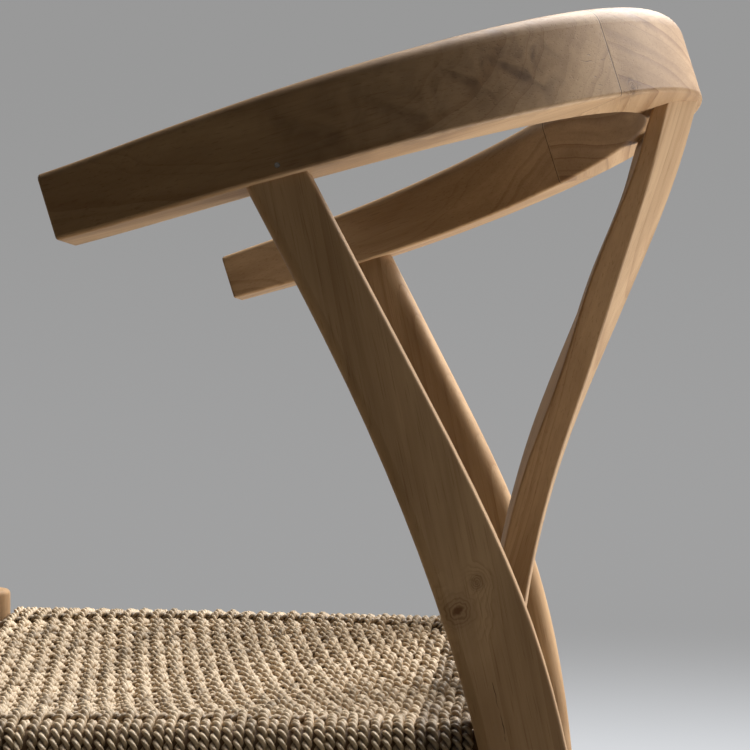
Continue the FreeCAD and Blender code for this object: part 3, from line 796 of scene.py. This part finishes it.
    def along_loop(self, index: int) -> CordRoute:
        """Loop along the seat, round the front and back rails and back below.

        Args:
            index: Number of the cord, from the left.

        Returns:
            Its route; in front of the splat's stem it goes down before the rail.
        """
        share = self.along_shares[index]
        outermost = abs(share) == 1
        crest = self.cross_level + self.wrap_half_depth
        low_end = self.cross_level - self.wrap_half_depth
        at_stem = abs(self.along_place(share, self.back)) < self.stem_half
        end = self.stem_front - self.stem_gap if at_stem else self.back
        places = np.linspace(self.front, end, self.along_samples)
        across = self.along_place(share, places)
        gap = np.minimum(places - self.front, self.back - places)
        lift = self.edge_lift if outermost else 0.0
        top = crest + (self.top_level(across, places) + lift - crest) * ease(gap / self.cross_top_run)
        low = low_end + (self.under_level - low_end) * ease(gap / self.cross_under_run)
        if at_stem:
            down = np.linspace(top[-1] - self.stem_gap, low[-1] + self.stem_gap, self.stem_samples)
            far = paired(np.full_like(down, self.stem_front), down)
        else:
            far = self.bow((self.back, self.cross_level), self.wrap, 90, -90)[1:-1]
        near = self.bow((self.front, self.cross_level), self.wrap, 270, 90)[1:-1]
        flat = looped(places, top, low, far, near)
        sideways = self.along_place(share, flat[:, 0]) + self.drift(flat[:, 0], self.along_wander)
        points = np.stack([sideways, flat[:, 0], flat[:, 1]], axis=1)
        # The outermost cords along the seat are darker, partly by their own tone and partly as painted shade.
        return CordRoute(points, self.ALONG_AXIS, self.edge_stain_and_shade if outermost else 0.0)

    def corner_wraps(self) -> list[CordRoute]:
        """One more wrap round each side rail, close to the rear leg."""
        routes = []
        for side in (-1, 1):
            centre = (side * float(self.half_width(self.rear_place)), self.side_level)
            oval = self.bow(centre, self.wrap, 0, 360)[:-1]
            sideways = self.rear_place + self.taper * (np.abs(oval[:, 0]) - abs(centre[0]))
            points = np.stack([oval[:, 0], sideways, oval[:, 1]], axis=1)
            routes.append(CordRoute(points, self.ACROSS_AXIS, self.edge_stain_and_shade))
        return routes

    def cross_wraps(self, rail: float) -> list[CordRoute]:
        """Wraps round the front or the back rail, between the cords that run along the seat."""
        routes = []
        gaps = self.wraps_between + 1
        for first, second in zip(self.along_shares, self.along_shares[1:]):
            for number in range(1, gaps):
                across = float(self.along_place(first + (second - first) * number / gaps, rail))
                if rail > 0 and abs(across) < self.stem_half:
                    continue
                oval = self.bow((rail, self.cross_level), self.wrap, 0, 360)[:-1]
                shift = self.chance.uniform(-self.wrap_shift, self.wrap_shift)
                points = np.stack([np.full(len(oval), across + shift), oval[:, 0], oval[:, 1]], axis=1)
                routes.append(CordRoute(points, self.ALONG_AXIS))
        return routes

    def ply_outline(self) -> tuple[np.ndarray, np.ndarray]:
        """Section of the cord for a radius of 1: two round plies side by side.

        Returns:
            Its points and how far out each one lies, from 0 where the plies meet to 1 on the crown; this sets
            the painted shade between the plies.
        """
        ply = self.ply_radius
        apart = 1.0 - ply
        waist = math.sqrt(ply * ply - apart * apart)
        angles = np.radians(self.ply_angles)
        right = paired(apart + ply * np.cos(angles), ply * np.sin(angles))
        outline = np.concatenate([[[0.0, -waist]], right, [[0.0, waist]], -right])
        return outline, np.array(self.ply_crown * 2)

    def even_points(self, points: np.ndarray) -> np.ndarray:
        """Points spaced for the sweep along a closed route: close on top, wider below.

        Args:
            points: The route, unevenly spaced.

        Returns:
            The smoothed route, spaced by the cord's own steps.
        """
        closed = np.concatenate([points, points[:1]])
        run = np.concatenate([[0.0], np.cumsum(np.linalg.norm(np.diff(closed, axis=0), axis=1))])
        count = int(run[-1] / self.dense_step)
        even = np.linspace(0.0, run[-1], count, endpoint=False)
        dense = np.stack([np.interp(even, run, closed[:, k]) for k in range(3)], axis=1)
        reach = self.smooth_reach
        kernel = np.hanning(2 * reach + 3)[1:-1]
        kernel = kernel / kernel.sum()
        padded = np.concatenate([dense[-reach:], dense, dense[:reach]])
        dense = np.stack([np.convolve(padded[:, k], kernel, "valid") for k in range(3)], axis=1)
        below = dense[:, 2] < self.under_level + self.coarse_below * self.weave_height
        steps = np.where(below, self.coarse_step, self.fine_step)
        cost = np.concatenate([[0.0], np.cumsum(run[-1] / count / steps)])
        wanted = np.linspace(0.0, cost[-1], int(cost[-1]), endpoint=False)
        rejoined = np.concatenate([dense, dense[:1]])
        return np.stack([np.interp(wanted, cost, rejoined[:, k]) for k in range(3)], axis=1)

    def sweep(self, route: CordRoute, mesh: CordMesh) -> None:
        """Sweep the twisting section of two plies along a route and add it to a mesh.

        Args:
            route: The closed centre line.
            mesh: What the cord is added to.
        """
        centre = self.even_points(route.points)
        rings = len(centre)
        step = np.linalg.norm(np.roll(centre, -1, axis=0) - centre, axis=1)
        run = np.concatenate([[0.0], np.cumsum(step)])
        tangent = np.roll(centre, -1, axis=0) - np.roll(centre, 1, axis=0)
        tangent = tangent / np.linalg.norm(tangent, axis=1, keepdims=True)
        axis = np.asarray(route.axis)
        normal = axis - tangent * (tangent @ axis)[:, None]
        normal = normal / np.linalg.norm(normal, axis=1, keepdims=True)
        binormal = np.cross(tangent, normal)
        turns = max(1, round(run[-1] / (self.lay * self.chance.uniform(*self.lay_spread))))
        twist = self.chance.uniform(0, math.pi) - 2 * math.pi * turns * run[:-1] / run[-1]
        outline, crown = self.ply_outline()
        sides = len(outline)
        radius = self.cord_radius * self.chance.uniform(*self.radius_spread)
        swell = radius * (1 + self.drift(run[:-1], self.swell_wander))
        cos, sin = np.cos(twist)[:, None], np.sin(twist)[:, None]
        first = (outline[:, 0] * cos - outline[:, 1] * sin) * swell[:, None]
        second = (outline[:, 0] * sin + outline[:, 1] * cos) * swell[:, None]
        points = centre[:, None] + first[..., None] * normal[:, None] + second[..., None] * binormal[:, None]
        faces, corner_map = self.tube(run, sides, self.chance.uniform(0, self.map_reach))
        tone = self.chance.betavariate(*self.tone_shape) - route.darker
        tone = tone + self.drift(run[:-1], self.tone_wander)
        mesh.points.append(points.reshape(-1, 3))
        mesh.faces.append(faces + mesh.count)
        mesh.maps.append(corner_map)
        mesh.tones.append(np.repeat(tone, sides))
        mesh.crowns.append(np.tile(crown, rings))
        mesh.count += rings * sides

    @staticmethod
    def tube(run: np.ndarray, sides: int, offset: float) -> tuple[np.ndarray, np.ndarray]:
        """Faces of a closed tube, and their map.

        Args:
            run: Run along the tube at each ring, and at its end.
            sides: Points on each ring.
            offset: Where the map's run starts.

        Returns:
            The corners of each face, and the share of the way round and the run of each corner.
        """
        rings = len(run) - 1
        ring, side = np.mgrid[:rings, :sides]
        corners = ((0, 0), (0, 1), (1, 1), (1, 0))
        faces = [(ring + ahead) % rings * sides + (side + beside) % sides for ahead, beside in corners]
        places = [((side + beside) / sides, run[ring + ahead] + offset) for ahead, beside in corners]
        places = [np.stack(place, axis=-1) for place in places]
        return np.stack(faces, axis=-1).reshape(-1, 4), np.stack(places, axis=2).reshape(-1, 2)

    def make_piece(self, name: str, routes: list[CordRoute], finish: bpy.types.Material) -> None:
        """Make one piece of the seat from its cords; it stands for part of the woven seat.

        Args:
            name: The piece's name.
            routes: Its cords.
            finish: Their material.
        """
        gathered = CordMesh()
        for route in routes:
            self.sweep(route, gathered)
        points = np.concatenate(gathered.points)
        faces = np.concatenate(gathered.faces)
        mesh = bpy.data.meshes.new(name)
        mesh.vertices.add(len(points))
        mesh.vertices.foreach_set("co", points.astype(np.float32).ravel())
        mesh.loops.add(faces.size)
        mesh.loops.foreach_set("vertex_index", faces.astype(np.int32).ravel())
        mesh.polygons.add(len(faces))
        mesh.polygons.foreach_set("loop_start", np.arange(0, faces.size, 4, dtype=np.int32))
        mesh.update(calc_edges=True)
        run_map = mesh.uv_layers.new(name=self.CORD_MAP)
        run_map.data.foreach_set("uv", np.concatenate(gathered.maps).astype(np.float32).ravel())
        for attribute, values in ((self.TONE, gathered.tones), (self.CROWN, gathered.crowns)):
            layer = mesh.attributes.new(attribute, "FLOAT", "POINT")
            layer.data.foreach_set("value", np.concatenate(values).astype(np.float32))
        mesh.shade_smooth()
        mesh.materials.append(finish)
        piece = bpy.data.objects.new(name, mesh)
        bpy.context.scene.collection.objects.link(piece)
        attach(piece, BODY)
        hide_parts("woven_seat")
        log.info("%s: %d cords, %d triangles", name, len(routes), 2 * len(faces))

    def build(self) -> None:
        """Make every piece of the seat."""
        finish = GrassCord().build()
        across = [self.across_loop(index) for index in range(self.across_count)]
        along = [self.along_loop(index) for index in range(self.along_count)]
        groups = {
            **self.shared_out("seat_cords_across", across, self.across_pieces),
            **self.shared_out("seat_cords_along", along, self.along_pieces),
            "seat_wraps_front": self.cross_wraps(self.front),
            "seat_wraps_back": self.cross_wraps(self.back),
            "seat_wraps_corner": self.corner_wraps() + [self.rear_loop()],
        }
        for name, routes in groups.items():
            self.make_piece(name, routes, finish)

    @staticmethod
    def shared_out(name: str, routes: list[CordRoute], count: int) -> dict[str, list[CordRoute]]:
        """Share cords out to a number of pieces."""
        size = math.ceil(len(routes) / count)
        return {f"{name}_{number + 1}": routes[number * size:(number + 1) * size] for number in range(count)}


@dataclass
class WoodFrame:
    """The chair's wooden pieces, each dressed with its own cut of teak."""

    seam_right: Point = (0.1625, 0.1999, 0.7348)
    seam_normal: Point = (0.788, -0.588, -0.183)
    # Painted shade: the seat rails' teak is made very dark, so the gaps between the cords look shaded.
    rail_painted_shade_pale: Colour = (0.22, 0.138, 0.074)
    rail_painted_shade_deep: Colour = (0.12, 0.072, 0.036)
    side_pith: float = 0.25
    side_lean: float = 0.08

    def cuts(self) -> dict[str, Teak]:
        """The cut of wood of each piece, by node."""
        seam_left = (-self.seam_right[0], self.seam_right[1], self.seam_right[2])
        left_normal = (-self.seam_normal[0], self.seam_normal[1], self.seam_normal[2])
        right = GlueLine(self.seam_right, self.seam_normal)
        left = GlueLine(seam_left, left_normal)
        cuts = {
            "bow_back": Teak(
                "teak_bow_back", (1.0, 0.0, 0.0), (0.0, 0.170, 0.590),
                ring_width=7.5 * MM, ring_depth=0.95, swirl=10 * MM,
                knots=(Knot((0.1545, 0.2075, 0.7382), (0.58, 0.78, 0.24), 1.1 * MM),),
                stains=(Stain((0.1530, 0.2080, 0.7375), 13 * MM, 0.8),),
                glue_lines=(right, left),
            ),
            "bow_arm_right": Teak(
                "teak_arm_right", (-0.22, 0.90, 0.28), (0.315, 0.05, 0.76), swirl=34 * MM,
                stains=(
                    Stain((0.2090, 0.1520, 0.7420), 36 * MM, 1.0),
                    Stain((0.2254, 0.1283, 0.7350), 30 * MM, 0.8),
                    Stain((0.2400, 0.1040, 0.7180), 42 * MM, 0.7),
                    Stain((0.2544, 0.0661, 0.7093), 50 * MM, 0.6),
                ),
                cracks=(
                    Crack((0.1710, 0.1904, 0.7498), (0.1630, 0.1967, 0.7519)),
                    Crack((0.1825, 0.1803, 0.7476), (0.1739, 0.1884, 0.7483)),
                    Crack((0.1777, 0.1839, 0.7511), (0.1744, 0.1869, 0.7514)),
                    Crack((0.1804, 0.1843, 0.7413), (0.1754, 0.1893, 0.7409)),
                    Crack((0.1799, 0.1862, 0.7368), (0.1745, 0.1913, 0.7371)),
                    Crack((0.1820, 0.1852, 0.7335), (0.1765, 0.1902, 0.7346)),
                ),
                glue_lines=(right,),
            ),
            "bow_arm_left": Teak(
                "teak_arm_left", (0.25, 0.88, 0.30), (-0.15, 0.06, 0.66), swirl=30 * MM, glue_lines=(left,)
            ),
            "rear_leg_right": Teak(
                "teak_rear_leg_right", (0.10, -0.20, 0.97), (0.12, 0.20, 0.4), ring_depth=0.4,
                knots=(
                    Knot((0.2270, 0.1228, 0.4849), (0.96, 0.26, -0.05), 5.0 * MM),
                    Knot((0.2253, 0.1316, 0.4982), (0.96, 0.26, -0.05), 2.4 * MM, 0.35),
                ),
                cracks=(
                    Crack((0.2217, 0.1375, 0.4559), (0.2195, 0.1422, 0.4370)),
                    Crack((0.2197, 0.1418, 0.4385), (0.2177, 0.1459, 0.4199)),
                ),
            ),
            "rear_leg_left": Teak("teak_rear_leg_left", (-0.10, -0.20, 0.97), (-0.28, 0.06, 0.4)),
            "front_leg_right": Teak("teak_front_leg_right", (0.02, 0.01, 1.0), (0.27, -0.20, 0.2)),
            "front_leg_left": Teak("teak_front_leg_left", (-0.01, 0.02, 1.0), (-0.20, -0.28, 0.2)),
            "back_splat": Teak("teak_splat", (0.0, 0.28, 0.96), (0.06, 0.30, 0.5), ring_width=3.6 * MM),
        }
        for place in ("front", "back"):
            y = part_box(f"stretcher_{place}")[0].y
            pith = (0.0, y - 0.03, 0.19)
            cuts[f"stretcher_{place}"] = Teak(f"teak_stretcher_{place}", (1.0, 0.02, 0.01), pith)
            cuts[f"seat_rail_{place}"] = self.painted_shade_rail_cut(place, (1.0, 0.01, 0.02), (0.0, y + 0.06, 0.36))
        for side, sign in (("right", 1), ("left", -1)):
            across = sign * self.side_pith
            grain = (-self.side_lean * sign, 1.0, 0.0)
            cuts[f"stretcher_{side}"] = Teak(f"teak_stretcher_{side}", grain, (across, 0.0, 0.18))
            cuts[f"seat_rail_{side}"] = self.painted_shade_rail_cut(side, grain, (across, 0.0, 0.36))
        return cuts

    def painted_shade_rail_cut(self, place: str, grain: Point, pith: Point) -> Teak:
        """Cut of a seat rail, of wood darkened as painted shade for the gaps between the cords, where it
        mostly stays unseen.
        """
        return Teak(f"teak_seat_rail_painted_shade_{place}", grain, pith, light=self.rail_painted_shade_pale, deep=self.rail_painted_shade_deep)

    def build(self) -> None:
        """Dress every wooden node."""
        for node, cut in self.cuts().items():
            dress(node, cut.build())


def dress(node: str, material: bpy.types.Material) -> None:
    """Give a node of the frame its finish."""
    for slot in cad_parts[node].material_slots:
        slot.material = material
    log.info("%s: %s", node, material.name)


@dataclass
class SmallParts:
    """Pins, dowels and glides."""

    steel: PlainFinish = PlainFinish("dull_steel", (0.10, 0.085, 0.07), (0.20, 0.18, 0.16), 0.45, 0.9)
    dowel: PlainFinish = PlainFinish("dowel_wood", (0.55, 0.42, 0.28), (0.42, 0.30, 0.19), 0.6)
    plastic: PlainFinish = PlainFinish("glide_plastic", (0.035, 0.032, 0.03), (0.07, 0.065, 0.06), 0.5)

    def build(self) -> None:
        """Dress the small nodes."""
        dress("arm_pins", self.steel.build())
        dress("bow_dowels", self.dowel.build())
        dress("foot_glides", self.plastic.build())


@dataclass(frozen=True)
class Softbox:
    """An area light: its place, what it looks at, its size, its power and its tint."""

    name: str
    place: Point
    target: Point
    size: float
    power: float
    tint: Colour = (1.0, 1.0, 1.0)

    def build(self) -> None:
        """Set the lamp up; the camera doesn't see it."""
        bpy.ops.object.light_add(type="AREA", location=self.place)
        lamp = bpy.context.object
        lamp.name = self.name
        lamp.data.shape = "DISK"
        lamp.data.size = self.size
        lamp.data.energy = self.power
        lamp.data.color = self.tint
        lamp.visible_camera = False
        aim = Vector(self.target) - Vector(self.place)
        lamp.rotation_euler = aim.to_track_quat("-Z", "Y").to_euler()


@dataclass
class Studio:
    """Floor, backdrop, lights and camera."""

    image_size: int = 750
    focal_pixels: float = 1800.0
    sensor: float = 36.0
    near_clip: float = 0.02
    camera_place: Point = (1.0625, 0.1557, 0.5856)
    camera_turn: float = 4.988
    horizon_row: float = 393.9
    middle_shift: float = 3.0
    floor_radius: float = 1.35
    floor_sides: int = 160
    rim_span: Span = (0.55, 0.98)
    floor_colour: Colour = (0.46, 0.455, 0.45)
    bounce_colour: Colour = (0.485, 0.435, 0.34)
    backdrop: Colour = (0.318, 0.318, 0.318)
    backdrop_middle: Colour = (0.352, 0.352, 0.354)
    backdrop_low: Colour = (0.78, 0.80, 0.83)
    middle_span: Span = (-0.09, 0.20)
    low_span: Span = (-0.2255, -0.1229)
    ambient: float = 0.015
    lights: tuple[Softbox, ...] = (
        Softbox("key", (-1.0, 1.9, 1.85), (0.0, 0.1, 0.62), 1.0, 23.0, COOL_LIGHT),
        Softbox("top", (-0.85, 0.75, 2.1), (0.0, 0.0, 0.5), 1.4, 83.0),
        Softbox("near", (0.08, 0.3, 2.2), (0.1, 0.0, 0.45), 0.5, 6.0),
        Softbox("low", (-0.1, 1.05, 0.012), (-0.1, 1.05, 1.0), 0.8, 21.0, COOL_LIGHT),
        Softbox("fill", (-1.3, -1.9, 1.5), (0.0, 0.0, 0.5), 1.2, 6.0),
    )

    def make_floor(self) -> None:
        """Pale round floor that fades into the backdrop at its rim."""
        bpy.ops.object.select_all(action="DESELECT")
        bpy.ops.mesh.primitive_circle_add(
            vertices=self.floor_sides, radius=self.floor_radius, fill_type="NGON"
        )
        floor = bpy.context.object
        floor.name = "floor"
        material, graph = new_material("pale_floor")
        place = graph.add("ShaderNodeTexCoord", output="Object")
        rim = graph.rise(graph.vector("LENGTH", place) / self.floor_radius, self.rim_span)
        seen = graph.add("ShaderNodeLightPath", output="Is Camera Ray")
        shown = graph.mix(seen, self.bounce_colour, self.floor_colour)
        matt = graph.add("ShaderNodeBsdfDiffuse", {}, {"Color": shown})
        clear = graph.add("ShaderNodeBsdfTransparent")
        mixed = graph.add("ShaderNodeMixShader", {}, {0: rim * seen, 1: matt, 2: clear})
        graph.add("ShaderNodeOutputMaterial", {}, {"Surface": mixed})
        floor.data.materials.append(material)

    def make_backdrop(self) -> None:
        """Plain grey backdrop that grows paler towards the floor, and a soft even light."""
        world = bpy.data.worlds.new("studio")
        world.use_nodes = True
        bpy.context.scene.world = world
        graph = ShaderGraph(world.node_tree)
        direction = graph.add("ShaderNodeTexCoord", output="Generated")
        height = graph.add("ShaderNodeSeparateXYZ", {}, {0: direction}, "Z")
        shown = graph.mix(graph.fall(height, self.middle_span), self.backdrop, self.backdrop_middle)
        shown = graph.mix(graph.fall(height, self.low_span), shown, self.backdrop_low)
        rays = ("Is Camera Ray", "Is Glossy Ray", "Is Transmission Ray")
        seen = strongest([graph.add("ShaderNodeLightPath", output=ray) for ray in rays])
        picture = graph.add("ShaderNodeBackground", {}, {"Color": shown, "Strength": 1.0})
        fill = graph.add("ShaderNodeBackground", {}, {"Color": WARM_LIGHT, "Strength": self.ambient})
        mixed = graph.add("ShaderNodeMixShader", {}, {0: seen, 1: fill, 2: picture})
        graph.add("ShaderNodeOutputWorld", {}, {"Surface": mixed})

    def make_camera(self) -> None:
        """Level camera at the chair's side."""
        turn = (math.radians(90), 0.0, math.radians(90 + self.camera_turn))
        bpy.ops.object.camera_add(location=self.camera_place, rotation=turn)
        camera = bpy.context.object
        camera.data.sensor_width = self.sensor
        camera.data.lens = self.focal_pixels / self.image_size * self.sensor
        camera.data.shift_x = self.middle_shift / self.image_size
        camera.data.shift_y = (self.horizon_row - self.image_size / 2) / self.image_size
        camera.data.clip_start = self.near_clip
        bpy.context.scene.camera = camera

    def build(self) -> None:
        """Set up the studio."""
        self.make_floor()
        self.make_backdrop()
        for light in self.lights:
            light.build()
        self.make_camera()
        bpy.context.scene.view_settings.view_transform = "Standard"


def main() -> None:
    """Build and dress the chair, then set up the studio."""
    logging.basicConfig(level=logging.INFO, format="%(message)s")
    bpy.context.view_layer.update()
    bpy.ops.object.select_all(action="DESELECT")
    WoodFrame().build()
    SmallParts().build()
    WovenSeat().build()
    Studio().build()


if __name__ == "__main__":
    main()
